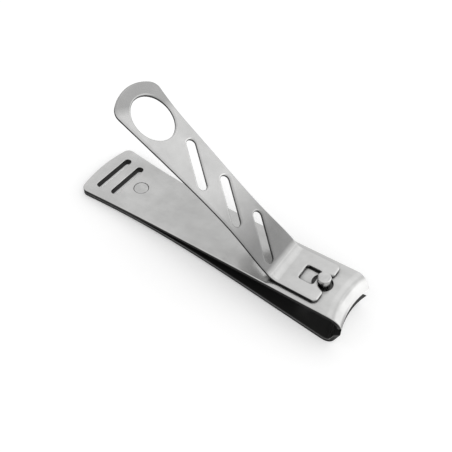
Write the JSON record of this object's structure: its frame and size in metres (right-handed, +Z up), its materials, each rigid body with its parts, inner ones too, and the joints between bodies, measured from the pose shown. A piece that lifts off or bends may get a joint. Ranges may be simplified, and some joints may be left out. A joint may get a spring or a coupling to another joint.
{
  "type": "lever nail clipper",
  "caption": "Lever nail clipper: riveted spring leaves with hollow hooked jaws, a swivelling post and a slotted press lever raised ready for use.",
  "frame": {"origin": "centre of the clipper's footprint, on the surface it lies on", "axes": "+X from the tail to the jaws, +Y across, +Z up; lying on its lower leaf with the lever swung up"},
  "size_m": [0.0803, 0.0196, 0.036],
  "materials": {
    "blade_steel": "satin stainless steel, brushed along its length",
    "pin_steel": "turned stainless steel",
    "lever_steel": "satin stainless steel"
  },
  "bodies": {
    "lower": {"lower_blade": "blade_steel", "tail_rivet": "pin_steel"},
    "upper": {"upper_blade": "blade_steel"},
    "post": {"post": "pin_steel"},
    "lever": {"lever": "lever_steel"}
  },
  "joints": [
    {"name": "jaw_close", "type": "hinge", "parent": "lower", "child": "upper", "pos_m": [-0.0258, 0, 0.00179], "axis": [0, 1, 0], "range_deg": [0, 2.08], "stiffness_Nm_per_rad": 10},
    {"name": "post_swivel", "type": "hinge", "parent": "lower", "child": "post", "pos_m": [0.03067, 0, 0.0092], "axis": [-0.1321, 0, 0.9912], "continuous": true},
    {"name": "lever_press", "type": "hinge", "parent": "post", "child": "lever", "pos_m": [0.0295, 0, 0.00959], "axis": [0, -1, 0], "range_deg": [0, 11.6]}
  ],
  "couplings": [
    {"joint": "jaw_close", "follows": "lever_press", "ratio": 0.178}
  ]
}
